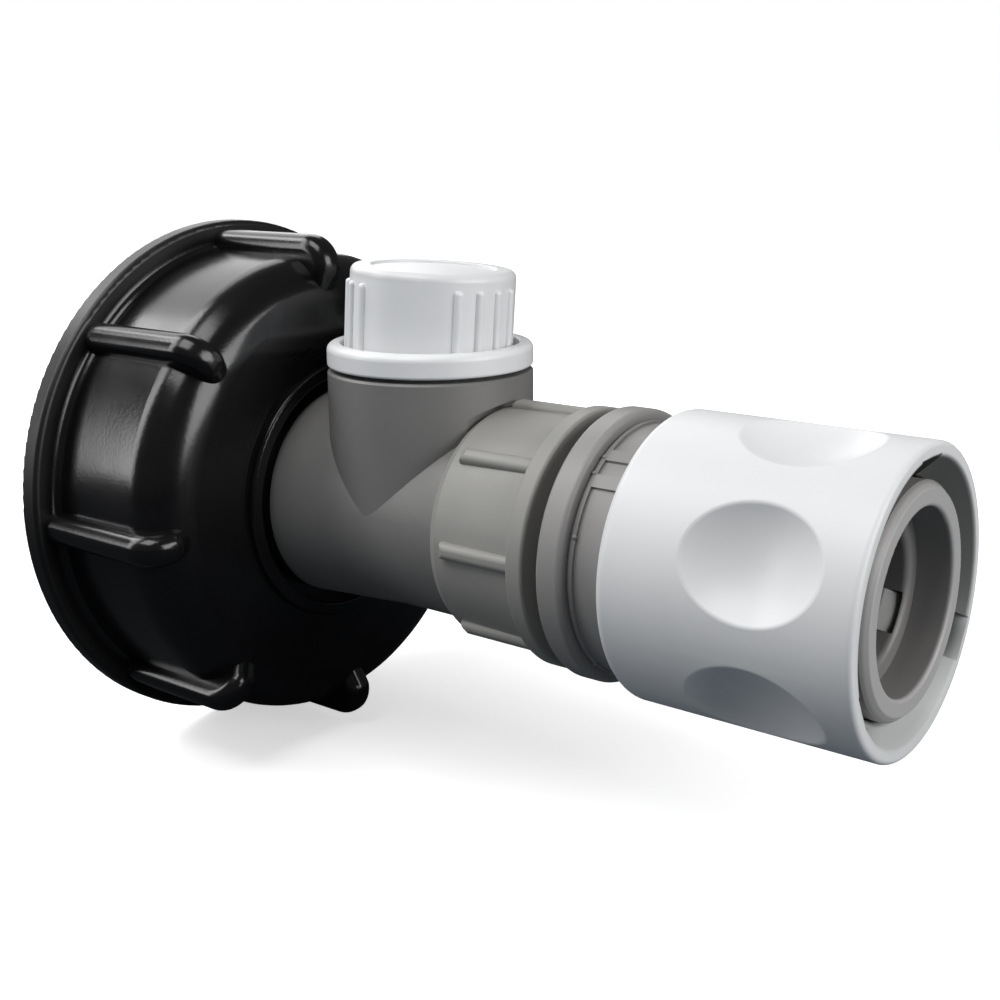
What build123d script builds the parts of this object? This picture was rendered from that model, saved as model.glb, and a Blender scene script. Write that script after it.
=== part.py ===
"""Tank outlet valve with a coarse-threaded cap nut and a quick hose coupling.

Millimetres. The origin is the centre of the cap nut's tank-side mouth, +X runs
along the flow to the hose socket and +Z runs up the axis of the control knob.
"""

import os
from math import cos, radians, sin

from build123d import *

# General clearances
running_fit = 0.08
body_gap = 0.3
corner_break = 0.4

# Cap nut: the thread bore, shell and rim
tank_thread_r = 30.3
tank_thread_length = 13.5
relief_depth = 0.7
relief_length = 6.0
shell_wall = 4.1
shell_draft = 0.4
shoulder_radius = 6.5
web_thickness = 5.0
rim_width = 3.7
rim_thickness = 3.2
rim_edge_radius = 0.8
rim_back_radius = 0.5
rim_root_radius = 1.2

# Cap nut: the hooked grips
grip_count = 8
grip_width = 4.4
grip_height = 2.9
grip_start_angle = 3.0
grip_root_depth = 1.5
grip_bend_radius = 4.6
grip_face_height = 1.3
grip_face_length = 2.4
grip_tip_length = 4.9
grip_tip_radius = 2.6
grip_round = 1.9

# Cap nut: the seat that the valve body screws into
inlet_thread_r = 13.15
thread_clearance = 0.08
seat_side_gap = 1.8
seat_boss_wall = 2.0
seat_boss_height = 1.1
inner_boss_wall = 4.27
inner_boss_length = 6.0
inlet_washer_thickness = 2.0

# Flat tank gasket
gasket_thickness = 3.0
gasket_boss_gap = 2.5

# Valve body: ports, plug chamber and stub
port_r = 6.5
plug_wall = 3.4
plug_height = 6.3
plug_floor = 2.8
bonnet_step = 1.0
bonnet_height = 7.0
stub_wall = 3.3
stub_chamfer = 0.3

# Valve body: barrel, spigot and tail
spigot_length = 10.5
spigot_wall = 2.95
spigot_bore_length = 11.5
throat_cone_length = 2.5
spigot_chamfer = 0.8
barrel_shoulder = 2.25
barrel_spare = 0.1
tee_reach = 17.4
nut_reach = 12.5
tail_step = 1.65
tail_length = 7.0
tail_lead = 1.5
tail_chamfer = 0.5
clip_thickness = 1.4
clip_groove_depth = 1.1
clip_side_gap = 0.53
clip_slot = 6.0

# Seat seals, stem and stem seals
seat_seal_wall = 1.8
seat_seal_length = 2.7
stem_r = 5.5
stem_seal_section_r = 0.85
stem_seal_groove_width = 2.0
stem_seal_setback = 2.4
stem_seal_pitch = 2.7
stem_square_length = 6.0
stem_flat_depth = 1.6
stem_corner_radius = 1.2
plug_chamfer = 0.8

# Bonnet with the flange round the knob
bonnet_gap = 0.55
bonnet_flange_thickness = 3.2
bonnet_edge_radius = 1.0
knob_recess_depth = 2.25
knob_recess_gap = 0.45

# Control knob, which leans a little on its stem
knob_grip_r = 11.3
knob_height = 11.6
knob_floor_gap = 0.8
knob_wall = 2.0
knob_hub_wall = 3.0
knob_edge_radius = 1.1
knob_dish_r = 8.5
knob_dish_depth = 0.35
knob_socket_play = 0.42
knob_lean = 3.3
knob_lean_direction = 37.7
knob_rib_radius = 0.6
knob_rib_proud = 0.55
knob_rib_setback = 2.1
knob_rib_round = 0.5
knob_rib_pitch = 16.0
knob_rib_groups = 3
knob_ribs_in_group = 4
knob_group_angle = -8.7
stop_post_width = 2.0
stop_post_depth = 1.4
stop_post_height = 2.8
stop_web_width = 1.6
stop_post_angle = 45.0
stop_reach = 16.0
quarter_turn = 90.0

# Union nut
nut_length = 15.9
nut_back_wall = 3.0
nut_wall = 2.67
nut_draft = 0.4
nut_edge_length = 1.1
nut_edge_drop = 0.6
nut_flange_height = 0.9
nut_flange_thickness = 2.5
nut_rib_count = 8
nut_rib_length = 10.9
nut_rib_width = 2.2
nut_rib_height = 1.15
nut_rib_round = 0.9
union_washer_thickness = 2.0
exposed_thread = 2.5

# Coupling body: flange, skirt and passage
coupling_flange_height = 1.7
coupling_flange_thickness = 3.5
coupling_flange_round = 0.7
coupling_wall = 4.15
nose_stop_step = 1.8
nose_stop_length = 4.0
nose_stop_cone = 1.5
nose_room = 4.0
spring_space = 1.3
skirt_wall = 0.8
skirt_length = 8.8
snap_bead_height = 1.0
snap_bead_width = 1.2
seam_ring_setback = 0.9
seam_ring_width = 0.5
skirt_rib_height = 0.35
skirt_rib_width = 1.8
skirt_rib_pairs = 3
skirt_rib_pair_angle = 129.4
skirt_rib_half_spacing = 7.0
spring_pocket_start = 1.2

# Coupling body: the socket for a hose plug
mouth_bore_r = 11.0
mouth_bore_depth = 4.6
mouth_wall = 2.9
mouth_taper = 0.8
mouth_taper_length = 0.9
mouth_edge_radius = 0.5
lip_width = 2.3
lip_radius = 0.8
seal_groove_depth = 2.0
seal_groove_length = 3.0
seal_groove_setback = 17.0
seal_side_gap = 0.1
seal_lip_drop = 0.8
seal_lip_height = 1.5
seal_lip_place = 0.55

# Slide sleeve
release_travel = 5.0
release_spare = 0.2
sleeve_length = 31.9
sleeve_wall = 1.15
sleeve_back_edge = 1.3
sleeve_front_edge = 0.7
sleeve_inner_edge = 0.4
sleeve_lip_length = 1.7
sleeve_chamber_length = 10.5
sleeve_mouth_width = 1.65
sleeve_mouth_slope = 2.8
tube_side_gap = 0.24
tube_setback = 0.4
dimple_count = 6
dimple_ball_r = 12.45
dimple_depth = 3.3
dimple_station = 19.1
dimple_start_angle = 98.6
dimple_edge_radius = 0.6

# Spring and lock claws
wire_r = 0.45
spring_turns = 6
spring_end_gap = 0.05
claw_count = 3
claw_angle = 90.0
claw_width = 5.0
claw_length = 3.8
claw_reach = 1.1
claw_lead = 2.0
claw_round = 0.5
claw_setback = 5.2
claw_side_gap = 0.1
cam_gap = 0.2
pocket_lead = 0.6
pocket_side_gap = 0.3
pocket_depth = 1.4
release_ratio = 0.27

# Stations along X that follow from the sizes above
web_back = tank_thread_length + relief_length
cap_face = web_back + web_thickness
shoulder_start = cap_face - shoulder_radius
washer_floor = cap_face - inlet_washer_thickness
spigot_end = cap_face - spigot_length
tee_x = cap_face + tee_reach
nut_back = tee_x + nut_reach
nut_front = nut_back + nut_length
nut_flange_back = nut_front - nut_flange_thickness
barrel_end = nut_back - body_gap
tail_end = nut_back + tail_length
clip_start = nut_back + nut_back_wall + body_gap
thread_end = tail_end + union_washer_thickness
flange_back = nut_front + exposed_thread
flange_front = flange_back + coupling_flange_thickness
seam_ring_start = flange_front + seam_ring_setback - seam_ring_width
sleeve_back = flange_front + release_travel + release_spare
sleeve_front = sleeve_back + sleeve_length
tube_front = sleeve_front - tube_setback
skirt_front = flange_front + skirt_length
spring_pocket = flange_front + spring_pocket_start
chamber_front = sleeve_back + sleeve_chamber_length
claw_front = tube_front - claw_setback
claw_back = claw_front - claw_length
pocket_start = claw_back - pocket_lead
lip_face = tube_front - mouth_bore_depth
seal_start = tube_front - seal_groove_setback
seal_end = seal_start + seal_groove_length
nose_stop_front = seal_start - nose_room
nose_stop_back = nose_stop_front - nose_stop_length

# Radii round the X axis that follow from the sizes above
shell_end_r = tank_thread_r + shell_wall
shell_root_r = shell_end_r + shell_draft
rim_r = shell_root_r + rim_width
grip_r = shell_end_r + grip_height
relief_r = tank_thread_r + relief_depth
gasket_r = relief_r - body_gap
thread_bore_r = inlet_thread_r + thread_clearance
inner_boss_r = thread_bore_r + inner_boss_wall
barrel_inlet_r = inlet_thread_r + barrel_shoulder
inlet_washer_r = barrel_inlet_r - body_gap
seat_bore_r = barrel_inlet_r + seat_side_gap
seat_boss_r = seat_bore_r + seat_boss_wall
spigot_bore_r = inlet_thread_r - spigot_wall
tail_r = inlet_thread_r - tail_step
clip_groove_r = tail_r - clip_groove_depth
clip_outer_r = thread_bore_r - clip_side_gap
union_washer_r = thread_bore_r - clip_side_gap
passage_r = inlet_thread_r - coupling_wall
nut_back_r = thread_bore_r + nut_wall
nut_edge_r = nut_back_r - nut_edge_drop
nut_front_r = nut_back_r + nut_draft
nut_flange_r = nut_front_r + nut_flange_height
tube_r = mouth_bore_r + mouth_wall
tube_end_r = tube_r - mouth_taper
guide_bore_r = mouth_bore_r - lip_width
seal_groove_r = guide_bore_r + seal_groove_depth
nose_stop_r = guide_bore_r - nose_stop_step
claw_tip_r = guide_bore_r - claw_reach
skirt_inner_r = tube_r + spring_space
skirt_r = skirt_inner_r + skirt_wall
skirt_rib_r = skirt_r + skirt_rib_height
snap_bead_r = skirt_r + snap_bead_height
coupling_flange_r = skirt_r + coupling_flange_height
lip_bore_r = skirt_rib_r + body_gap
sleeve_chamber_r = snap_bead_r + body_gap
sleeve_r = sleeve_chamber_r + sleeve_wall
sleeve_mouth_r = sleeve_r - sleeve_mouth_width
land_r = tube_r + tube_side_gap
spring_r = tube_r + body_gap + wire_r

# Radii and heights round the knob's axis
plug_r = port_r + plug_wall
chamber_r = plug_r + running_fit
seat_seal_r = port_r + seat_seal_wall
seat_pocket_depth = plug_r + seat_seal_length
bonnet_r = plug_r + bonnet_step
stub_r = bonnet_r + stub_wall
barrel_r = stub_r + barrel_spare
plug_top = port_r + plug_height
chamber_floor = -port_r - plug_floor
plug_bottom = chamber_floor + running_fit
lower_seal_height = plug_top + stem_seal_setback
upper_seal_height = lower_seal_height + stem_seal_pitch
stub_top = plug_top + bonnet_height
bonnet_flange_bottom = stub_top + bonnet_gap
bonnet_top = bonnet_flange_bottom + bonnet_flange_thickness
recess_floor = bonnet_top - knob_recess_depth
stem_shoulder = recess_floor + knob_floor_gap
stem_square = 2 * (stem_r - stem_flat_depth)
knob_bottom = stem_shoulder
hub_bottom = stem_shoulder + knob_socket_play
knob_top = knob_bottom + knob_height
knob_ceiling = knob_top - knob_wall
knob_bore_r = knob_grip_r - knob_wall
knob_hub_r = stem_square / 2 + knob_hub_wall
knob_recess_r = knob_grip_r + knob_rib_proud + knob_recess_gap
knob_socket = stem_square + 2 * knob_socket_play
knob_socket_top = stem_shoulder + stem_square_length + knob_socket_play
post_r = (knob_hub_r + knob_bore_r) / 2


def cam_r(x):
    """Radius of the sloped pocket floor above the station x of the sleeve."""
    return land_r + release_ratio * (x - pocket_start)


def corner(sketch, x, y):
    """The sketch vertex nearest to a point of its plane."""
    return sketch.vertices().sort_by_distance(Vector(x, y, 0))[0]


def ring_place(radius, angle):
    """A place on a circle round the knob's axis, turned to face outwards."""
    x = tee_x + radius * cos(radians(angle))
    y = radius * sin(radians(angle))
    return Location((x, y, 0), (0, 0, angle))


def save(piece, name):
    """Label a finished piece and write it as its own STEP file."""
    piece.label = name
    export_step(piece, f"parts/{name}.step")


os.makedirs("parts", exist_ok=True)

knob_axis = Axis((tee_x, 0, 0), (0, 0, 1))
knob_plane = Plane(origin=(tee_x, 0, 0), x_dir=(1, 0, 0), z_dir=(0, -1, 0))

# One hooked grip of the cap nut, on the +Z side, half round in section
grip_root_r = shell_end_r - grip_root_depth
grip_top = cap_face + grip_face_height
grip_face_r = shell_end_r - grip_face_length
grip_tip_r = grip_face_r - grip_tip_length
with BuildPart() as grip:
    with BuildSketch(Plane.XZ) as grip_profile:
        with BuildLine():
            Polyline(
                (rim_thickness / 2, grip_root_r),
                (rim_thickness / 2, grip_r),
                (grip_top, grip_r),
                (grip_top, grip_face_r),
                (cap_face - grip_root_depth, grip_tip_r),
                (web_back + grip_root_depth, relief_r),
                (shoulder_start, grip_root_r),
                close=True,
            )
        make_face()
        fillet(corner(grip_profile, grip_top, grip_r), grip_bend_radius)
        fillet(corner(grip_profile, grip_top, grip_face_r), grip_tip_radius)
    extrude(amount=grip_width / 2, both=True)
    side_faces = grip.faces().filter_by(Axis.Y)
    proud_edges = side_faces.edges().filter_by(
        lambda edge: edge.center().Z > shell_root_r or edge.center().X > cap_face - grip_root_depth / 2
    )
    fillet(proud_edges, grip_round)

# Cap nut with its thread bore, rim, web and the seat for the valve body
with BuildPart() as cap_nut:
    with BuildSketch(Plane.XZ) as cap_profile:
        with BuildLine():
            Polyline(
                (0, tank_thread_r),
                (0, rim_r),
                (rim_thickness, rim_r),
                (rim_thickness, shell_root_r),
                (cap_face, shell_end_r),
                (cap_face, seat_boss_r),
                (cap_face + seat_boss_height, seat_boss_r),
                (cap_face + seat_boss_height, seat_bore_r),
                (washer_floor, seat_bore_r),
                (washer_floor, thread_bore_r),
                (web_back - inner_boss_length, thread_bore_r),
                (web_back - inner_boss_length, inner_boss_r),
                (web_back, inner_boss_r),
                (web_back, relief_r),
                (tank_thread_length, relief_r),
                (tank_thread_length, tank_thread_r),
                close=True,
            )
        make_face()
        fillet(corner(cap_profile, cap_face, shell_end_r), shoulder_radius)
        fillet(corner(cap_profile, rim_thickness, shell_root_r), rim_root_radius)
        fillet(corner(cap_profile, rim_thickness, rim_r), rim_edge_radius)
        fillet(corner(cap_profile, 0, rim_r), rim_back_radius)
        fillet(corner(cap_profile, cap_face + seat_boss_height, seat_boss_r), corner_break)
        fillet(corner(cap_profile, cap_face + seat_boss_height, seat_bore_r), corner_break)
    revolve(axis=Axis.X)
    for number in range(grip_count):
        add(grip.part.rotate(Axis.X, grip_start_angle + number * 360 / grip_count))
save(cap_nut.part, "cap_nut")

# Flat gasket that the tank spout is pressed against
with BuildPart() as tank_gasket:
    with BuildSketch(Plane.YZ.offset(web_back - gasket_thickness)):
        Circle(gasket_r)
        Circle(inner_boss_r + gasket_boss_gap, mode=Mode.SUBTRACT)
    extrude(amount=gasket_thickness)
save(tank_gasket.part, "tank_gasket")

# Washer under the shoulder of the valve body
with BuildPart() as inlet_washer:
    with BuildSketch(Plane.YZ.offset(washer_floor)):
        Circle(inlet_washer_r)
        Circle(thread_bore_r, mode=Mode.SUBTRACT)
    extrude(amount=inlet_washer_thickness)
save(inlet_washer.part, "inlet_washer")

# Valve body: barrel, stub, plug chamber and seat pockets
with BuildPart() as valve_body:
    with BuildSketch(Plane.XZ) as barrel_profile:
        with BuildLine():
            Polyline(
                (spigot_end, 0),
                (spigot_end, inlet_thread_r),
                (cap_face, inlet_thread_r),
                (cap_face, barrel_inlet_r),
                (tee_x, barrel_r),
                (barrel_end, barrel_r),
                (barrel_end, tail_r),
                (clip_start, tail_r),
                (clip_start, clip_groove_r),
                (clip_start + clip_thickness, clip_groove_r),
                (clip_start + clip_thickness, tail_r),
                (tail_end, tail_r),
                (tail_end, 0),
                close=True,
            )
        make_face()
        chamfer(corner(barrel_profile, spigot_end, inlet_thread_r), spigot_chamfer)
        chamfer(corner(barrel_profile, cap_face, barrel_inlet_r), corner_break)
        chamfer(corner(barrel_profile, tail_end, tail_r), tail_chamfer)
    revolve(axis=Axis.X)
    with BuildSketch(knob_plane) as stub_profile:
        with BuildLine():
            Polyline((0, 0), (stub_r, 0), (stub_r, stub_top), (0, stub_top), close=True)
        make_face()
        chamfer(corner(stub_profile, stub_r, stub_top), stub_chamfer)
    revolve(axis=knob_axis)
    with BuildSketch(Plane.YZ.offset(barrel_end)):
        Circle(nut_front_r + body_gap)
        Circle(tail_r, mode=Mode.SUBTRACT)
    extrude(amount=stub_r, mode=Mode.SUBTRACT)
    with BuildSketch(Plane.XZ):
        with BuildLine():
            Polyline(
                (spigot_end, 0),
                (spigot_end, spigot_bore_r),
                (spigot_end + spigot_bore_length, spigot_bore_r),
                (spigot_end + spigot_bore_length + throat_cone_length, port_r),
                (tail_end - tail_lead, port_r),
                (tail_end, port_r + tail_lead),
                (tail_end, 0),
                close=True,
            )
        make_face()
    revolve(axis=Axis.X, mode=Mode.SUBTRACT)
    with BuildSketch(Plane.XY.offset(chamber_floor)):
        with Locations((tee_x, 0)):
            Circle(chamber_r)
    extrude(amount=stub_top - chamber_floor, mode=Mode.SUBTRACT)
    with BuildSketch(Plane.XY.offset(plug_top + running_fit)):
        with Locations((tee_x, 0)):
            Circle(bonnet_r + running_fit)
    extrude(amount=bonnet_height, mode=Mode.SUBTRACT)
    with BuildSketch(Plane.YZ.offset(tee_x)):
        Circle(seat_seal_r + running_fit)
    extrude(amount=seat_pocket_depth, both=True, mode=Mode.SUBTRACT)
save(valve_body.part, "valve_body")

# Soft seat seal of the inlet port, its inner end hollowed to the plug
with BuildPart() as seat_seal:
    with BuildSketch(Plane.YZ.offset(tee_x - seat_pocket_depth)):
        Circle(seat_seal_r)
        Circle(port_r, mode=Mode.SUBTRACT)
    extrude(amount=seat_pocket_depth)
    with Locations((tee_x, 0, 0)):
        Cylinder(plug_r + running_fit, 4 * plug_r, mode=Mode.SUBTRACT)
save(seat_seal.part, "inlet_seat_seal")
save(seat_seal.part.mirror(Plane.YZ.offset(tee_x)), "outlet_seat_seal")

# Valve plug with its cross port, stem and square end
with BuildPart() as valve_plug:
    with BuildSketch(knob_plane) as plug_profile:
        with BuildLine():
            Polyline(
                (0, plug_bottom),
                (plug_r, plug_bottom),
                (plug_r, plug_top),
                (stem_r, plug_top),
                (stem_r, stem_shoulder),
                (0, stem_shoulder),
                close=True,
            )
        make_face()
        chamfer(corner(plug_profile, plug_r, plug_bottom), plug_chamfer)
        for height in (lower_seal_height, upper_seal_height):
            with Locations((stem_r, height)):
                Rectangle(4 * stem_seal_section_r, stem_seal_groove_width, mode=Mode.SUBTRACT)
    revolve(axis=knob_axis)
    with BuildSketch(Plane.XY.offset(stem_shoulder)):
        with Locations((tee_x, 0)):
            RectangleRounded(stem_square, stem_square, stem_corner_radius)
    extrude(amount=stem_square_length)
    with Locations(Plane.XZ.move(Location((tee_x, 0, 0)))):
        Cylinder(port_r, 4 * plug_r, mode=Mode.SUBTRACT)
save(valve_plug.part, "valve_plug")

# Stem seals, two round rings in the grooves of the stem
seal_heights = {"lower_stem_seal": lower_seal_height, "upper_stem_seal": upper_seal_height}
for seal_name, seal_height in seal_heights.items():
    with BuildPart() as stem_seal:
        with BuildSketch(knob_plane):
            with Locations((stem_r - stem_seal_section_r + running_fit / 4, seal_height)):
                Circle(stem_seal_section_r)
        revolve(axis=knob_axis)
    save(stem_seal.part, seal_name)

# Bonnet that holds the plug down: a flange with a recess for the knob and its stop post
with BuildPart() as valve_bonnet:
    with BuildSketch(knob_plane) as bonnet_profile:
        with BuildLine():
            Polyline(
                (stem_r + running_fit, plug_top + running_fit),
                (bonnet_r, plug_top + running_fit),
                (bonnet_r, bonnet_flange_bottom),
                (stub_r, bonnet_flange_bottom),
                (stub_r, bonnet_top),
                (knob_recess_r, bonnet_top),
                (knob_recess_r, recess_floor),
                (stem_r + running_fit, recess_floor),
                close=True,
            )
        make_face()
        fillet(corner(bonnet_profile, stub_r, bonnet_top), bonnet_edge_radius)
        fillet(corner(bonnet_profile, stub_r, bonnet_flange_bottom), corner_break)
        chamfer(corner(bonnet_profile, knob_recess_r, bonnet_top), corner_break / 2)
    revolve(axis=knob_axis)
    with BuildSketch(Plane.XY.offset(recess_floor)):
        with Locations(ring_place(post_r, stop_post_angle)):
            Rectangle(stop_post_depth, stop_post_width)
    extrude(amount=stop_post_height)
save(valve_bonnet.part, "valve_bonnet")

# One grip rib of the knob, rounded at its top
with BuildPart() as knob_rib:
    rib_centre = knob_grip_r + knob_rib_proud - knob_rib_radius
    with BuildSketch(Plane.XY.offset(knob_bottom)):
        with Locations((tee_x + rib_centre, 0)):
            Circle(knob_rib_radius)
    extrude(amount=knob_height - knob_rib_setback)
    fillet(knob_rib.edges().group_by(Axis.Z)[-1], knob_rib_round)

# Control knob: a hollow cap with grip ribs, a hub on the stem's square and stop webs
with BuildPart() as control_knob:
    with BuildSketch(knob_plane) as knob_profile:
        with BuildLine():
            Polyline(
                (knob_bore_r, knob_bottom),
                (knob_grip_r, knob_bottom),
                (knob_grip_r, knob_top),
                (knob_dish_r, knob_top),
                (knob_dish_r, knob_top - knob_dish_depth),
                (0, knob_top - knob_dish_depth),
                (0, hub_bottom),
                (knob_hub_r, hub_bottom),
                (knob_hub_r, knob_ceiling),
                (knob_bore_r, knob_ceiling),
                close=True,
            )
        make_face()
        fillet(corner(knob_profile, knob_grip_r, knob_top), knob_edge_radius)
        fillet(corner(knob_profile, knob_dish_r, knob_top), corner_break / 2)
    revolve(axis=knob_axis)
    with BuildSketch(Plane.XY.offset(hub_bottom)):
        with Locations((tee_x, 0)):
            RectangleRounded(knob_socket, knob_socket, stem_corner_radius)
    extrude(amount=knob_socket_top - hub_bottom, mode=Mode.SUBTRACT)
    for web_angle in (stop_post_angle + stop_reach, stop_post_angle - stop_reach - quarter_turn):
        with BuildSketch(Plane.XY.offset(hub_bottom)):
            with Locations(ring_place(post_r, web_angle)):
                Rectangle(knob_bore_r - knob_hub_r + knob_wall / 2, stop_web_width)
        extrude(amount=knob_ceiling - knob_bottom)
    for group in range(knob_rib_groups):
        for number in range(knob_ribs_in_group):
            step = (number - (knob_ribs_in_group - 1) / 2) * knob_rib_pitch
            add(knob_rib.part.rotate(knob_axis, knob_group_angle + group * 360 / knob_rib_groups + step))
lean_direction = radians(knob_lean_direction)
lean_axis = Axis((tee_x, 0, stem_shoulder), (-sin(lean_direction), cos(lean_direction), 0))
save(control_knob.part.rotate(lean_axis, knob_lean), "control_knob")

# One grip rib of the union nut, rounded on its outside
with BuildPart() as nut_rib:
    with Locations((nut_flange_back - nut_rib_length, 0, nut_back_r - nut_rib_height)):
        Box(
            nut_rib_length + corner_break,
            nut_rib_width,
            2 * nut_rib_height,
            align=(Align.MIN, Align.CENTER, Align.MIN),
        )
    outer_edges = nut_rib.faces().sort_by(Axis.Z)[-1].edges()
    fillet(outer_edges.sort_by(Axis.X)[:-1], nut_rib_round)

# Union nut, free to turn on the tail of the valve body
with BuildPart() as union_nut:
    with BuildSketch(Plane.XZ) as nut_profile:
        with BuildLine():
            Polyline(
                (nut_back, tail_r + running_fit),
                (nut_back, nut_edge_r),
                (nut_back + nut_edge_length, nut_back_r),
                (nut_flange_back, nut_front_r),
                (nut_flange_back, nut_flange_r),
                (nut_front, nut_flange_r),
                (nut_front, thread_bore_r),
                (nut_back + nut_back_wall, thread_bore_r),
                (nut_back + nut_back_wall, tail_r + running_fit),
                close=True,
            )
        make_face()
        fillet(corner(nut_profile, nut_front, nut_flange_r), corner_break)
        fillet(corner(nut_profile, nut_flange_back, nut_flange_r), corner_break)
    revolve(axis=Axis.X)
    for number in range(nut_rib_count):
        add(nut_rib.part.rotate(Axis.X, number * 360 / nut_rib_count))
save(union_nut.part, "union_nut")

# Split ring in the groove of the tail that keeps the nut on
with BuildPart() as tail_clip:
    with BuildSketch(Plane.YZ.offset(clip_start)):
        Circle(clip_outer_r)
        Circle(clip_groove_r, mode=Mode.SUBTRACT)
        with Locations((0, -clip_outer_r)):
            Rectangle(clip_slot, clip_outer_r, mode=Mode.SUBTRACT)
    extrude(amount=clip_thickness)
save(tail_clip.part, "tail_clip")

# Washer between the tail and the coupling body
with BuildPart() as union_washer:
    with BuildSketch(Plane.YZ.offset(tail_end)):
        Circle(union_washer_r)
        Circle(passage_r, mode=Mode.SUBTRACT)
    extrude(amount=union_washer_thickness)
save(union_washer.part, "union_washer")

# Coupling body: threaded end, flange, skirt and socket tube
with BuildPart() as coupling_body:
    with BuildSketch(Plane.XZ) as coupling_profile:
        with BuildLine():
            Polyline(
                (thread_end, passage_r),
                (thread_end, inlet_thread_r),
                (flange_back, inlet_thread_r),
                (flange_back, coupling_flange_r),
                (flange_front, coupling_flange_r),
                (flange_front, skirt_r),
                (seam_ring_start, skirt_r),
                (seam_ring_start, skirt_rib_r),
                (seam_ring_start + seam_ring_width, skirt_rib_r),
                (seam_ring_start + seam_ring_width, skirt_r),
                (skirt_front - snap_bead_width, skirt_r),
                (skirt_front - snap_bead_width, snap_bead_r),
                (skirt_front, skirt_r),
                (skirt_front, skirt_inner_r),
                (spring_pocket, skirt_inner_r),
                (spring_pocket, tube_r),
                (tube_front - mouth_taper_length, tube_r),
                (tube_front, tube_end_r),
                (tube_front, mouth_bore_r),
                (lip_face, mouth_bore_r),
                (lip_face, guide_bore_r),
                (seal_end, guide_bore_r),
                (seal_end, seal_groove_r),
                (seal_start, seal_groove_r),
                (seal_start, guide_bore_r),
                (nose_stop_front, guide_bore_r),
                (nose_stop_front, nose_stop_r),
                (nose_stop_back, nose_stop_r),
                (nose_stop_back - nose_stop_cone, passage_r),
                close=True,
            )
        make_face()
        chamfer(corner(coupling_profile, thread_end, inlet_thread_r), spigot_chamfer)
        fillet(corner(coupling_profile, flange_back, coupling_flange_r), corner_break)
        fillet(corner(coupling_profile, flange_front, coupling_flange_r), coupling_flange_round)
        fillet(corner(coupling_profile, tube_front, tube_end_r), body_gap)
        fillet(corner(coupling_profile, tube_front, mouth_bore_r), mouth_edge_radius)
        fillet(corner(coupling_profile, lip_face, guide_bore_r), lip_radius)
    revolve(axis=Axis.X)
    skirt_rib_start = seam_ring_start + seam_ring_width
    skirt_rib_length = skirt_front - snap_bead_width - skirt_rib_start
    for pair in range(skirt_rib_pairs):
        for side in (-1, 1):
            turn = skirt_rib_pair_angle - 90 + pair * 360 / skirt_rib_pairs + side * skirt_rib_half_spacing
            rib_middle = Pos(skirt_rib_start + skirt_rib_length / 2, 0, skirt_rib_r - skirt_wall / 2)
            with Locations(Rot(X=turn) * rib_middle):
                Box(skirt_rib_length, skirt_rib_width, skirt_wall)
    for number in range(claw_count):
        turn = Rot(X=claw_angle - 90 + number * 360 / claw_count)
        with Locations(turn * Pos((claw_back + claw_front) / 2, 0, tube_r)):
            Box(
                claw_length + 2 * claw_side_gap,
                claw_width + 2 * claw_side_gap,
                2 * (tube_r - claw_tip_r),
                mode=Mode.SUBTRACT,
            )
save(coupling_body.part, "coupling_body")

# Rubber seal in the socket's groove, which grips the nose of a hose plug
with BuildPart() as socket_seal:
    with BuildSketch(Plane.XZ):
        with BuildLine():
            Polyline(
                (seal_start + seal_side_gap, seal_groove_r - seal_side_gap),
                (seal_end - seal_side_gap, seal_groove_r - seal_side_gap),
                (seal_end - seal_side_gap, guide_bore_r - body_gap),
                (seal_start + seal_lip_place * seal_groove_length, guide_bore_r - seal_lip_height),
                (seal_start + seal_side_gap, guide_bore_r - seal_lip_drop),
                close=True,
            )
        make_face()
    revolve(axis=Axis.X)
save(socket_seal.part, "socket_seal")

# Slide sleeve with finger dimples, spring chamber and cam pockets
with BuildPart() as slide_sleeve:
    with BuildSketch(Plane.XZ) as sleeve_profile:
        with BuildLine():
            Polyline(
                (sleeve_back, lip_bore_r),
                (sleeve_back, sleeve_r),
                (sleeve_front, sleeve_r),
                (sleeve_front, sleeve_mouth_r),
                (sleeve_front - sleeve_mouth_slope, land_r),
                (chamber_front, land_r),
                (chamber_front, sleeve_chamber_r),
                (sleeve_back + sleeve_lip_length, sleeve_chamber_r),
                (sleeve_back + sleeve_lip_length, lip_bore_r),
                close=True,
            )
        make_face()
        fillet(corner(sleeve_profile, sleeve_back, sleeve_r), sleeve_back_edge)
        fillet(corner(sleeve_profile, sleeve_front, sleeve_r), sleeve_front_edge)
        fillet(corner(sleeve_profile, sleeve_front, sleeve_mouth_r), sleeve_inner_edge)
    revolve(axis=Axis.X)
    for number in range(dimple_count):
        turn = Rot(X=dimple_start_angle - 90 + number * 360 / dimple_count)
        with Locations(turn * Pos(sleeve_back + dimple_station, 0, sleeve_r + dimple_ball_r - dimple_depth)):
            Sphere(dimple_ball_r, mode=Mode.SUBTRACT)
    dimple_faces = slide_sleeve.faces().filter_by(GeomType.SPHERE)
    fillet(dimple_faces.edges(), dimple_edge_radius)
    with BuildSketch(Plane.XZ):
        with BuildLine():
            Polyline(
                (pocket_start, tube_r - pocket_depth),
                (pocket_start, land_r),
                (sleeve_front + pocket_lead, cam_r(sleeve_front + pocket_lead)),
                (sleeve_front + pocket_lead, tube_r - pocket_depth),
                close=True,
            )
        make_face()
    pocket_half = claw_width / 2 + pocket_side_gap
    pocket = extrude(amount=pocket_half, both=True, mode=Mode.PRIVATE)
    for number in range(claw_count):
        add(pocket.rotate(Axis.X, claw_angle - 90 + number * 360 / claw_count), mode=Mode.SUBTRACT)
save(slide_sleeve.part, "slide_sleeve")

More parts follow.
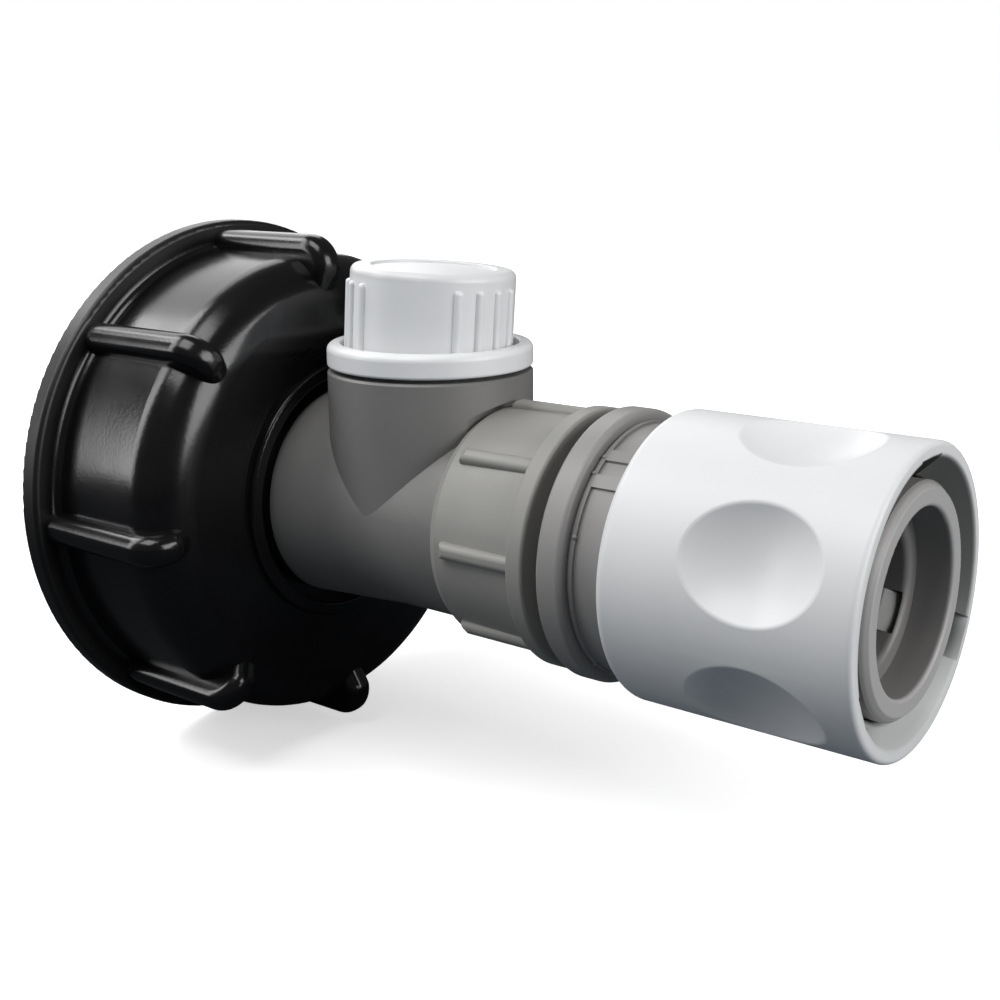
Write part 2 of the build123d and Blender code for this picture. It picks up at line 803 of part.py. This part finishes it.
# Coil spring between the coupling body and the sleeve
spring_start = spring_pocket + wire_r + spring_end_gap
spring_length = chamber_front - spring_start - wire_r - spring_end_gap
with BuildPart() as sleeve_spring:
    with BuildLine() as coil:
        Helix(
            pitch=spring_length / spring_turns,
            height=spring_length,
            radius=spring_r,
            center=(spring_start, 0, 0),
            direction=(1, 0, 0),
        )
    with BuildSketch(Plane(origin=coil.line @ 0, z_dir=coil.line % 0)):
        Circle(wire_r)
    sweep()
save(sleeve_spring.part, "sleeve_spring")

# Lock claws, one moulded shape set round the socket tube
with BuildPart() as lock_claw:
    with BuildSketch(Plane.XZ) as claw_profile:
        with BuildLine():
            Polyline(
                (claw_back, claw_tip_r),
                (claw_front - claw_lead, claw_tip_r),
                (claw_front, claw_tip_r + claw_lead),
                (claw_front, cam_r(claw_front) - cam_gap),
                (claw_back, cam_r(claw_back) - cam_gap),
                close=True,
            )
        make_face()
        fillet(corner(claw_profile, claw_front - claw_lead, claw_tip_r), claw_round)
    extrude(amount=claw_width / 2, both=True)
for number in range(claw_count):
    turn = claw_angle - 90 + number * 360 / claw_count
    save(lock_claw.part.rotate(Axis.X, turn), f"lock_claw_{number + 1}")
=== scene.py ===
"""Looks of a tank outlet valve: finishes, tank thread, flash, spring, light and camera."""

from math import cos, pi, radians, sin

import bmesh
import bpy
from mathutils import Matrix, Vector


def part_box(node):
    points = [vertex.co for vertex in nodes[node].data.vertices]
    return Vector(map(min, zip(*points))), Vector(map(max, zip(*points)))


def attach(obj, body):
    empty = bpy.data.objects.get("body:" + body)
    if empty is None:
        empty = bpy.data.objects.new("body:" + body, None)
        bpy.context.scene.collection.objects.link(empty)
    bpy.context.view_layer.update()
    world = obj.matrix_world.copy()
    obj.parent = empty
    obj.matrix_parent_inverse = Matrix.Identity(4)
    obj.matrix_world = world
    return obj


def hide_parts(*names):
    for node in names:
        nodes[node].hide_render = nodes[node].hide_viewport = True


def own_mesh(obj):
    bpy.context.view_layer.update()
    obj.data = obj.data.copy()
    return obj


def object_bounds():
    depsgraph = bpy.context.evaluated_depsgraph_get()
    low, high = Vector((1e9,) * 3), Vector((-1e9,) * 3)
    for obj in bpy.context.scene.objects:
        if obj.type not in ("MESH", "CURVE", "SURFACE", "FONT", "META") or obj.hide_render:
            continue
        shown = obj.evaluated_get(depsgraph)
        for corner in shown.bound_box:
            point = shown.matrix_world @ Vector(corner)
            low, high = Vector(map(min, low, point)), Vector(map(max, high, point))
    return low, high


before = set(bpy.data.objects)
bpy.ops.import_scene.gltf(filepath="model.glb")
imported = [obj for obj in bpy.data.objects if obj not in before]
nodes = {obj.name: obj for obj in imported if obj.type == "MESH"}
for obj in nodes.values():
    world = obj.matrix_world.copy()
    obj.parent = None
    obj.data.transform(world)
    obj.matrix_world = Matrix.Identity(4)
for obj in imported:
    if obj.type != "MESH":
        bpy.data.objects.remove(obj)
cad_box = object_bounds()
scene = bpy.context.scene

# Cap nut: one moulding in black polypropylene that screws on the container's
# outlet. Shell and grips are glossy with a slow waver, the face has fine turned
# rings round the boss, and the rim's edge is rubbed duller than the rest.


class Finish:
    """A Principled material, built up from procedural layers on Object coordinates.

    It has the place along X, Y and Z (along, across, up) and the radius round X.
    """

    def __init__(self, name, specular=0.5):
        self.material = bpy.data.materials.new(name)
        self.material.use_nodes = True
        self.tree = self.material.node_tree
        self.shader = self.tree.nodes["Principled BSDF"]
        self.shader.inputs["Specular IOR Level"].default_value = specular
        self.place = self.node("TexCoord").outputs["Object"]
        parts = self.node("SeparateXYZ")
        self.feed(parts.inputs["Vector"], self.place)
        self.along, self.across, self.up = (parts.outputs[axis] for axis in "XYZ")
        squares = self.math("ADD", self.times(self.across, self.across), self.times(self.up, self.up))
        self.radius = self.math("SQRT", squares)
        self.normal = None

    def node(self, kind, **settings):
        """A new node with its settings, such as its operation."""
        node = self.tree.nodes.new("ShaderNode" + kind)
        for label, value in settings.items():
            setattr(node, label, value)
        return node

    def feed(self, socket, value):
        """Links an output to a socket, or sets a number, place or colour on it."""
        if isinstance(value, bpy.types.NodeSocket):
            self.tree.links.new(value, socket)
        elif socket.type == "RGBA":
            socket.default_value = (*value, 1)
        else:
            socket.default_value = value

    def math(self, operation, first, second=None):
        """A Math node on one or two values or outputs."""
        node = self.node("Math", operation=operation)
        self.feed(node.inputs[0], first)
        if second is not None:
            self.feed(node.inputs[1], second)
        return node.outputs["Value"]

    def vector(self, operation, first, second=None):
        """A Vector Math node on one or two places or outputs."""
        node = self.node("VectorMath", operation=operation)
        self.feed(node.inputs[0], first)
        if second is not None:
            self.feed(node.inputs[1], second)
        return node.outputs["Value" if operation == "DISTANCE" else "Vector"]

    def times(self, first, second):
        """The product of two values, or where two masks are both on."""
        return self.math("MULTIPLY", first, second)

    def noise(self, per_metre, detail=3.0, stretch=None):
        """Noise from 0 to 1, with so many features in a metre."""
        place = self.place
        if stretch:
            mapping = self.node("Mapping")
            self.feed(mapping.inputs["Scale"], stretch)
            self.feed(mapping.inputs["Vector"], place)
            place = mapping.outputs["Vector"]
        node = self.node("TexNoise")
        self.feed(node.inputs["Scale"], per_metre)
        self.feed(node.inputs["Detail"], detail)
        self.feed(node.inputs["Vector"], place)
        return node.outputs["Fac"]

    def ramp(self, value, start, stop, low=0.0, high=1.0):
        """Goes from low to high while the value goes from start to stop."""
        node = self.node("MapRange")
        for label, number in (("From Min", start), ("From Max", stop), ("To Min", low), ("To Max", high)):
            self.feed(node.inputs[label], number)
        self.feed(node.inputs["Value"], value)
        return node.outputs["Result"]

    def fade(self, value, start, stop):
        """Goes from 1 to 0 while the value goes from start to stop."""
        return self.ramp(value, start, stop, 1.0, 0.0)

    def mix(self, kind, factor, first, second):
        """Mixes two colours (RGBA) or two vectors (VECTOR)."""
        node = self.node("Mix", data_type=kind)
        self.feed(node.inputs["Factor"], factor)
        pair = [socket for socket in node.inputs if socket.type == kind and socket.name in ("A", "B")]
        for socket, value in zip(pair, (first, second)):
            self.feed(socket, value)
        return next(socket for socket in node.outputs if socket.type == kind)

    def colour(self, value):
        """Gives the base colour its output."""
        self.feed(self.shader.inputs["Base Color"], value)

    def gloss(self, value):
        """Gives the roughness its output."""
        self.feed(self.shader.inputs["Roughness"], value)

    def tint(self, mask, tone):
        """Turns the base colour made so far into a tone where the mask is on."""
        skin = self.shader.inputs["Base Color"].links[0].from_socket
        self.colour(self.mix("RGBA", mask, skin, tone))

    def bump(self, height, strength, distance):
        """Adds a layer of relief, distance metres high."""
        node = self.node("Bump")
        self.feed(node.inputs["Strength"], strength)
        self.feed(node.inputs["Distance"], distance)
        self.feed(node.inputs["Height"], height)
        if self.normal:
            self.feed(node.inputs["Normal"], self.normal)
        self.normal = node.outputs["Normal"]
        self.feed(self.shader.inputs["Normal"], self.normal)


mottles_per_metre = 70.0
streaks_per_metre = 260.0
patches_per_metre = 90.0
wavers_per_metre = 45.0
grains_per_metre = 2600.0
mottle_range = (0.35, 0.65)
streak_range = (0.62, 0.72)
patch_range = (0.25, 0.75)
streak_stretch = (0.12, 1, 1)
streak_strength = 0.35
waver_height = 0.001
grain_height = 0.0001


def moulded(name, light, dark, smooth, rough, grain, waver, form=None):
    """A moulded finish: mottled tone, flow streaks along X, uneven gloss, slow waver and fine grain.

    A form is a function that works out the normal that lies under the relief.
    """
    finish = Finish(name)
    if form:
        finish.normal = form(finish)
    mottle = finish.ramp(finish.noise(mottles_per_metre, detail=5.0), *mottle_range)
    finish.colour(finish.mix("RGBA", mottle, light, dark))
    streaks = finish.noise(streaks_per_metre, detail=4.0, stretch=streak_stretch)
    finish.tint(finish.ramp(streaks, *streak_range, 0.0, streak_strength), dark)
    finish.gloss(finish.ramp(finish.noise(patches_per_metre), *patch_range, smooth, rough))
    finish.bump(finish.noise(wavers_per_metre, detail=2.0), waver, waver_height)
    finish.bump(finish.noise(grains_per_metre, detail=2.0), grain, grain_height)
    return finish


def dress(names, finish):
    """Give CAD nodes their finish."""
    for name in names:
        nodes[name].data.materials.clear()
        nodes[name].data.materials.append(finish.material)


cap_face = 0.0245
face_blend = 0.0001
rim_front = 0.0036
rim_root = 0.0042
rim_inner = 0.0358
rim_edge = 0.0372
rim_wear = 0.2
rings_inner = 0.021
rings_outer = 0.0245
rings_angle_per_metre = 9000.0
rings_strength = 0.1
rings_height = 0.00006

black = moulded(
    "black_plastic",
    light=(0.0035, 0.0035, 0.0038),
    dark=(0.006, 0.006, 0.0065),
    smooth=0.14,
    rough=0.26,
    grain=0.12,
    waver=0.12,
)
on_rim = black.times(
    black.ramp(black.radius, rim_inner, rim_edge),
    black.fade(black.along, rim_front, rim_root),
)
shine = black.shader.inputs["Roughness"].links[0].from_socket
black.gloss(black.math("ADD", shine, black.times(on_rim, rim_wear)))
near_boss = black.times(
    black.ramp(black.along, cap_face - face_blend, cap_face),
    black.fade(black.radius, rings_inner, rings_outer),
)
rings = black.math("SINE", black.times(black.radius, rings_angle_per_metre))
black.bump(black.times(rings, near_boss), rings_strength, rings_height)
dress(["cap_nut"], black)

# Tank thread: the ridge inside the cap nut that the container's outlet turns
# into, moulded in one with it. A blunt tooth with rounded edges, 6 mm pitch, that
# rises out of the bore's wall at its start and sinks back into it at its end.


def add_piece(name, mesh, body, finish):
    """Make an object at the origin from a bmesh and say where it belongs."""
    bmesh.ops.recalc_face_normals(mesh, faces=mesh.faces)
    for face in mesh.faces:
        face.smooth = True
    data = bpy.data.meshes.new(name)
    mesh.to_mesh(data)
    mesh.free()
    data.materials.append(finish.material)
    piece = bpy.data.objects.new(name, data)
    scene.collection.objects.link(piece)
    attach(piece, body)
    return piece


def wind(mesh, turns, steps, pitch):
    """Sweep a closed section round the X axis and along it, as a thread or a coil."""
    section = mesh.verts[:] + mesh.edges[:] + mesh.faces[:]
    bmesh.ops.spin(
        mesh,
        geom=section,
        cent=(0, 0, 0),
        axis=(1, 0, 0),
        dvec=(pitch * turns / steps, 0, 0),
        angle=2 * pi * turns,
        steps=steps,
        use_duplicate=False,
    )


thread_pitch = 0.006
thread_turns = 1.4
thread_steps = 168
thread_root = 0.03045
thread_crest = 0.0280
thread_start = 0.0012
tooth_flank = 0.0011
tooth_crest_width = 0.0016
tooth_round = 0.0004
lead_steps = 20
lead_height = 0.02

crest_start = thread_start + tooth_flank
crest_end = crest_start + tooth_crest_width
tooth = [
    (thread_start, thread_root),
    (crest_start, thread_crest),
    (crest_end, thread_crest),
    (crest_end + tooth_flank, thread_root),
]
ridge = bmesh.new()
corners = [ridge.verts.new((x, 0, r)) for x, r in tooth]
ridge.faces.new(corners)
bmesh.ops.bevel(
    ridge,
    geom=corners[1:3],
    offset=tooth_round,
    offset_type="OFFSET",
    segments=3,
    profile=0.5,
    affect="VERTICES",
    material=-1,
)
section_size = len(ridge.verts)
wind(ridge, thread_turns, thread_steps, thread_pitch)
for count, vertex in enumerate(ridge.verts):
    step = count // section_size
    risen = min(step, thread_steps - step, lead_steps) / lead_steps
    height = lead_height + (1 - lead_height) * sin(risen * pi / 2) ** 2
    outward = Vector((0, vertex.co.y, vertex.co.z))
    reach = thread_root - (thread_root - outward.length) * height
    vertex.co += outward.normalized() * (reach - outward.length)
add_piece("tank_thread_ridge", ridge, "valve", black)

# Gasket, washers, socket seal and stem rings: black rubber with a dull bloom,
# each pressed into its own seat.

rubber = moulded(
    "black_rubber",
    light=(0.010, 0.010, 0.010),
    dark=(0.018, 0.018, 0.017),
    smooth=0.5,
    rough=0.7,
    grain=0.3,
    waver=0.03,
)
dress(["tank_gasket", "inlet_washer", "union_washer", "socket_seal"], rubber)
dress(["lower_stem_seal", "upper_stem_seal"], rubber)

# Valve body: the tee, moulded in mid grey plastic with a semi-matt skin and
# screwed into the cap nut.

body_grey = moulded(
    "body_grey",
    light=(0.190, 0.187, 0.182),
    dark=(0.172, 0.169, 0.165),
    smooth=0.36,
    rough=0.5,
    grain=0.18,
    waver=0.05,
)
dress(["valve_body"], body_grey)

# Plug, tail clip and seat seals: natural white acetal for the plug and the
# clip, and a waxier seal plastic for the rings that the plug turns between.

natural = moulded(
    "plug_white",
    light=(0.70, 0.69, 0.66),
    dark=(0.67, 0.66, 0.63),
    smooth=0.35,
    rough=0.5,
    grain=0.08,
    waver=0.03,
)
dress(["valve_plug", "tail_clip"], natural)
waxy = moulded(
    "seal_white",
    light=(0.74, 0.735, 0.72),
    dark=(0.71, 0.705, 0.69),
    smooth=0.3,
    rough=0.42,
    grain=0.05,
    waver=0.03,
)
dress(["inlet_seat_seal", "outlet_seat_seal"], waxy)

# Bonnet and control knob: glossy white mouldings, the bonnet pressed into the
# stub and the knob pushed on the plug's stem. The knob's top has painted shade:
# it is tinted greyer where most light falls on it.

knob_side_end = 0.0324
knob_top_start = 0.0333
knob_top_painted_shade = (0.70, 0.707, 0.715)

white = moulded(
    "white_plastic",
    light=(0.79, 0.802, 0.814),
    dark=(0.77, 0.782, 0.794),
    smooth=0.32,
    rough=0.37,
    grain=0.05,
    waver=0.03,
)
# Painted shade: the knob's top is tinted greyer to tone down the light on it.
white.tint(white.ramp(white.up, knob_side_end, knob_top_start), knob_top_painted_shade)
dress(["control_knob", "valve_bonnet"], white)

# Union nut: a ribbed moulding in a lighter grey that the tail clip holds on
# the valve body.

nut_grey = moulded(
    "nut_grey",
    light=(0.298, 0.294, 0.277),
    dark=(0.272, 0.268, 0.253),
    smooth=0.4,
    rough=0.55,
    grain=0.18,
    waver=0.05,
)
dress(["union_nut"], nut_grey)

# Coupling body: a grey moulding that screws into the nut. Its pipe thread shows
# between nut and flange, its bore has painted shade, a darker tone, and the end
# face of its tube has painted light, a lighter tone.

tube_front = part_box("coupling_body")[1].x
pipe_pitch = 0.001814
pipe_crest = 0.0133
pipe_end = 0.0726
pipe_strength = 0.6
pipe_height = 0.0004
bore_painted_shade_tone = (0.20, 0.195, 0.19)
end_painted_light_tone = (0.43, 0.42, 0.415)
socket_bore = 0.0109
socket_start = 0.090
end_face = 0.0007
short_blend = 0.0002
long_blend = 0.002
end_blend = 0.0003

coupling_grey = moulded(
    "coupling_grey",
    light=(0.288, 0.280, 0.274),
    dark=(0.262, 0.255, 0.250),
    smooth=0.34,
    rough=0.5,
    grain=0.15,
    waver=0.05,
)
around = coupling_grey.math("ARCTAN2", coupling_grey.up, coupling_grey.across)
phase = coupling_grey.math("ADD", coupling_grey.times(coupling_grey.along, 2 * pi / pipe_pitch), around)
on_pipe = coupling_grey.times(
    coupling_grey.fade(coupling_grey.radius, pipe_crest, pipe_crest + short_blend),
    coupling_grey.fade(coupling_grey.along, pipe_end, pipe_end + short_blend),
)
pipe_thread = coupling_grey.times(coupling_grey.math("SINE", phase), on_pipe)
coupling_grey.bump(pipe_thread, pipe_strength, pipe_height)
# Painted shade: the bore is tinted darker where shade falls inside the socket.
in_bore = coupling_grey.times(
    coupling_grey.fade(coupling_grey.radius, socket_bore, socket_bore + short_blend),
    coupling_grey.ramp(coupling_grey.along, socket_start, socket_start + long_blend),
)
coupling_grey.tint(in_bore, bore_painted_shade_tone)
# Painted light: the tube's end face is tinted lighter where light falls on it.
end_start = tube_front - end_face
on_end = coupling_grey.times(
    coupling_grey.ramp(coupling_grey.radius, socket_bore, socket_bore + short_blend),
    coupling_grey.ramp(coupling_grey.along, end_start, end_start + end_blend),
)
coupling_grey.tint(on_end, end_painted_light_tone)
dress(["coupling_body"], coupling_grey)

# Moulding flash: small beads of the coupling body's grey plastic, left on the
# seam ring in front of its flange.

bead_reach = 0.01627
bead_angles = (124, 133, 162, 229, 244)
bead_stations = (0.0769, 0.0768, 0.0770, 0.0769, 0.0770)
bead_radii = (0.00034, 0.00032, 0.00034, 0.00034, 0.00032)
beads = bmesh.new()
for degrees, station, size in zip(bead_angles, bead_stations, bead_radii):
    angle = radians(degrees)
    spot = Matrix.Translation((station, bead_reach * cos(angle), bead_reach * sin(angle)))
    bmesh.ops.create_icosphere(beads, subdivisions=3, radius=size, matrix=spot)
add_piece("seam_beads", beads, "coupling", coupling_grey)

# Spring: drawn stainless wire, wound in six turns between the coupling body
# and the sleeve. It stands for the CAD solid on the same line.

steel_light = (0.60, 0.60, 0.61)
steel_dark = (0.52, 0.52, 0.53)
steel_mottles_per_metre = 300.0
draw_marks_per_metre = 500.0
draw_mark_range = (0.3, 0.7)
wire_smooth = 0.22
wire_rough = 0.38

steel = Finish("spring_steel")
steel.feed(steel.shader.inputs["Metallic"], 1.0)
steel.colour(steel.mix("RGBA", steel.noise(steel_mottles_per_metre), steel_light, steel_dark))
steel.gloss(steel.ramp(steel.noise(draw_marks_per_metre), *draw_mark_range, wire_smooth, wire_rough))
dress(["sleeve_spring"], steel)

wire_radius = 0.00045
coil_radius = 0.01465
coil_turns = 6
coil_steps = 216
coil_length = 0.0135
spring_seat = 0.0775
end_gap = 0.00005

coil_start = spring_seat + end_gap + wire_radius
coil = bmesh.new()
upright = Matrix.Translation((coil_start, 0, coil_radius)) @ Matrix.Rotation(pi / 2, 4, "X")
bmesh.ops.create_circle(coil, cap_ends=True, segments=12, radius=wire_radius, matrix=upright)
wind(coil, coil_turns, coil_steps, coil_length / coil_turns)
spring = add_piece("coil_spring", coil, "coupling", steel)
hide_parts("sleeve_spring")
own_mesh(spring)

# Slide sleeve: a white moulding over the coupling body, slightly less bright
# than the knob. Its mouth's inner wall has painted shade, painted lighter towards
# the bottom where light falls, and its six finger hollows are smooth to their deepest point.

sleeve_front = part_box("slide_sleeve")[1].x
mouth_wall = 0.0165
mouth_wall_blend = 0.0006
mouth_depth = 0.0043
mouth_depth_blend = 0.0003
wall_light_end = -0.0145
wall_dark_start = -0.006
wall_painted_light_tone = (0.50, 0.52, 0.505)
wall_painted_shade_tone = (0.105, 0.112, 0.104)
dimple_setback = 0.0128
dimple_floor = 0.01515
dimple_centre = 0.0276
dimple_step = pi / 3
dimple_first = radians(98.6)
floor_near = 0.0012
floor_far = 0.0024


def hollow_normal(finish):
    """The mesh's own normal, and at each dimple's deepest point the hollow ball's."""
    around = finish.math("ARCTAN2", finish.up, finish.across)
    offset = finish.math("SUBTRACT", around, dimple_first)
    whole = finish.math("ROUND", finish.math("DIVIDE", offset, dimple_step))
    nearest = finish.math("ADD", finish.times(whole, dimple_step), dimple_first)

    def middle(reach):
        """The place on the nearest dimple's middle line, at a reach from the X axis."""
        join = finish.node("CombineXYZ")
        finish.feed(join.inputs["X"], sleeve_front - dimple_setback)
        finish.feed(join.inputs["Y"], finish.times(finish.math("COSINE", nearest), reach))
        finish.feed(join.inputs["Z"], finish.times(finish.math("SINE", nearest), reach))
        return join.outputs["Vector"]

    inward = finish.vector("NORMALIZE", finish.vector("SUBTRACT", middle(dimple_centre), finish.place))
    turned = finish.node("VectorTransform", vector_type="NORMAL", convert_from="OBJECT", convert_to="WORLD")
    finish.feed(turned.inputs["Vector"], inward)
    gap = finish.vector("DISTANCE", middle(dimple_floor), finish.place)
    at_floor = finish.fade(gap, floor_near, floor_far)
    own = finish.node("NewGeometry").outputs["Normal"]
    return finish.mix("VECTOR", at_floor, own, turned.outputs["Vector"])


sleeve_white = moulded(
    "sleeve_white",
    light=(0.75, 0.758, 0.766),
    dark=(0.725, 0.733, 0.741),
    smooth=0.36,
    rough=0.42,
    grain=0.05,
    waver=0.03,
    form=hollow_normal,
)
mouth_start = sleeve_front - mouth_depth
# Painted shade inside the mouth, with painted light towards its bottom.
in_mouth = sleeve_white.times(
    sleeve_white.fade(sleeve_white.radius, mouth_wall, mouth_wall + mouth_wall_blend),
    sleeve_white.ramp(sleeve_white.along, mouth_start, mouth_start + mouth_depth_blend),
)
low_wall = sleeve_white.fade(sleeve_white.up, wall_light_end, wall_dark_start)
sleeve_white.tint(in_mouth, sleeve_white.mix("RGBA", low_wall, wall_painted_shade_tone, wall_painted_light_tone))
dress(["slide_sleeve"], sleeve_white)

# Lock claws: three small mouldings in the socket tube's windows, painted dark
# grey as shade in the bore, that the sleeve's ramps hold in.

claw_painted_shade = moulded(
    "claw_painted_shade",
    light=(0.20, 0.197, 0.19),
    dark=(0.18, 0.177, 0.17),
    smooth=0.4,
    rough=0.5,
    grain=0.08,
    waver=0.03,
)
dress(["lock_claw_1", "lock_claw_2", "lock_claw_3"], claw_painted_shade)

# Floor: a pale sheet just under the cap nut's rim. The camera sees it white
# with the object's shadow on it, and the object sees a dim bluish sheet.

floor_size = 6.0
floor_gap = 0.0005
shadow_middle = (0.05, 0.0, cad_box[0].z)
shadow_near = 0.1
shadow_far = 0.4
glow_near = 0.55
glow_far = 1.0
seen_tone = (0.85, 0.85, 0.85)
bounced_tone = (0.12, 0.14, 0.16)
mirrored_tone = (0.03, 0.035, 0.04)

floor_mesh = bmesh.new()
bmesh.ops.create_grid(floor_mesh, x_segments=1, y_segments=1, size=floor_size)
bmesh.ops.translate(floor_mesh, verts=floor_mesh.verts, vec=(0, 0, cad_box[0].z - floor_gap))
floor_data = bpy.data.meshes.new("floor")
floor_mesh.to_mesh(floor_data)
floor_mesh.free()
floor = bpy.data.objects.new("floor", floor_data)
scene.collection.objects.link(floor)

sheet = Finish("floor_white", specular=0.0)
sheet.feed(sheet.shader.inputs["Roughness"], 0.9)
sheet.feed(sheet.shader.inputs["Emission Color"], (1, 1, 1))
rays = sheet.node("LightPath").outputs
away = sheet.vector("DISTANCE", sheet.place, shadow_middle)
glow = sheet.ramp(away, shadow_near, shadow_far, glow_near, glow_far)
sheet.feed(sheet.shader.inputs["Emission Strength"], sheet.times(glow, rays["Is Camera Ray"]))
lit = sheet.mix("RGBA", rays["Is Camera Ray"], bounced_tone, seen_tone)
sheet.colour(sheet.mix("RGBA", rays["Is Glossy Ray"], lit, mirrored_tone))
floor_data.materials.append(sheet.material)

# World: white where the camera looks at it, and a dim even room for every
# other ray.

room_level = 0.09
white_level = 1.0

world = bpy.data.worlds.new("studio")
scene.world = world
world.use_nodes = True
world_tree = world.node_tree
background = world_tree.nodes["Background"]
background.inputs["Color"].default_value = (1, 1, 1, 1)
ray = world_tree.nodes.new("ShaderNodeLightPath")
level = world_tree.nodes.new("ShaderNodeMapRange")
level.inputs["To Min"].default_value = room_level
level.inputs["To Max"].default_value = white_level
world_tree.links.new(ray.outputs["Is Camera Ray"], level.inputs["Value"])
world_tree.links.new(level.outputs["Result"], background.inputs["Strength"])

# Lamps: soft boxes above at the front, over the cap nut, at the right, at the
# left and behind, all turned to the middle of the valve.

middle = Vector((0.06, 0.0, 0.0))


def soft_box(name, place, width, height, power):
    """A rectangular lamp at a place, turned to the middle of the valve."""
    light = bpy.data.lights.new(name, "AREA")
    light.shape = "RECTANGLE"
    light.size = width
    light.size_y = height
    light.energy = power
    lamp = bpy.data.objects.new(name, light)
    lamp.location = place
    lamp.rotation_mode = "QUATERNION"
    lamp.rotation_quaternion = (middle - Vector(place)).to_track_quat("-Z", "Y")
    scene.collection.objects.link(lamp)


soft_box("key_box", (0.04, -0.26, 0.50), width=0.34, height=0.3, power=1.55)
soft_box("cap_box", (-0.32, -0.14, 0.42), width=0.24, height=0.2, power=0.9)
soft_box("right_box", (0.55, 0.04, 0.18), width=0.4, height=0.3, power=2.0)
soft_box("left_box", (-0.35, -0.40, 0.25), width=0.14, height=0.5, power=1.2)
soft_box("back_box", (-0.60, 0.25, 0.40), width=0.9, height=0.6, power=3.4)

# Camera: at the photograph's view, from the right front and a little above,
# with its place in metres and its turn in degrees.

camera_place = (0.16727, -0.14619, 0.05114)
camera_turn = (75.328, 0.251, 37.722)

camera_data = bpy.data.cameras.new("camera")
camera_data.sensor_width = 36.0
camera_data.lens = 50.51
camera_data.clip_start = 0.01
camera = bpy.data.objects.new("camera", camera_data)
camera.location = camera_place
camera.rotation_euler = [radians(degrees) for degrees in camera_turn]
scene.collection.objects.link(camera)
scene.camera = camera
scene.view_settings.view_transform = "Standard"
